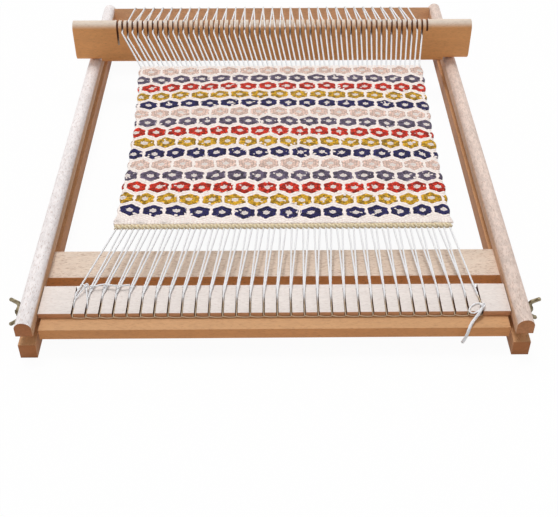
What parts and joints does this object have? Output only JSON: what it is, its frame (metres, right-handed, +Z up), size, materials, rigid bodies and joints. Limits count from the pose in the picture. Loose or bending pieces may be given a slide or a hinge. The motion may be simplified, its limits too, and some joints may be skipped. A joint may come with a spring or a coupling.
{
  "type": "table frame loom",
  "caption": "Wooden table frame loom: two pairs of rails joined by crossbars, a sliding front comb beam, a turning notched heddle bar, a stretched warp and a patterned cloth.",
  "frame": {"origin": "centre of the loom's footprint, on the table it stands on", "axes": "+X to the weaver's right, +Y away from the weaver towards the back beam, +Z up"},
  "size_m": [0.395, 0.5, 0.0751],
  "materials": {
    "beech_rail": "satin",
    "beech_board": "satin",
    "beech_comb": "satin",
    "beech_heddle": "satin",
    "zinc_plate": "satin",
    "cotton_warp": "matte",
    "woven_cloth": "matte"
  },
  "bodies": {
    "frame": {"left_upper_rail": "beech_rail", "right_upper_rail": "beech_rail", "left_lower_rail": "beech_rail", "right_lower_rail": "beech_rail", "front_crossbar": "beech_board", "back_crossbar": "beech_board", "back_beam": "beech_board", "crossbar_screws": "zinc_plate", "beam_screws": "zinc_plate", "rear_warp": "cotton_warp", "woven_cloth": "woven_cloth"},
    "tension_beam": {"tension_board": "beech_board", "front_comb": "beech_comb", "left_clamp_stud": "zinc_plate", "right_clamp_stud": "zinc_plate", "left_washer": "zinc_plate", "right_washer": "zinc_plate", "front_warp": "cotton_warp", "left_knot": "cotton_warp", "right_knot": "cotton_warp", "left_tail": "cotton_warp", "right_tail": "cotton_warp"},
    "left_nut": {"left_wing_nut": "zinc_plate"},
    "right_nut": {"right_wing_nut": "zinc_plate"},
    "heddle": {"heddle_bar": "beech_heddle"}
  },
  "joints": [
    {"name": "tension_slide", "type": "slide", "parent": "frame", "child": "tension_beam", "axis": [0, 1, 0], "range_m": [-0.018, 0.014], "deforming": ["front_warp"]},
    {"name": "left_nut_turn", "type": "hinge", "parent": "tension_beam", "child": "left_nut", "pos_m": [-0.187, -0.2195, 0.0175], "axis": [-1, 0, 0], "continuous": true},
    {"name": "right_nut_turn", "type": "hinge", "parent": "tension_beam", "child": "right_nut", "pos_m": [0.187, -0.2195, 0.0175], "axis": [1, 0, 0], "continuous": true},
    {"name": "heddle_turn", "type": "hinge", "parent": "frame", "child": "heddle", "pos_m": [0, 0.1315, 0.0426], "axis": [1, 0, 0], "range_deg": [-90, 90], "deforming": ["rear_warp", "woven_cloth"]}
  ]
}
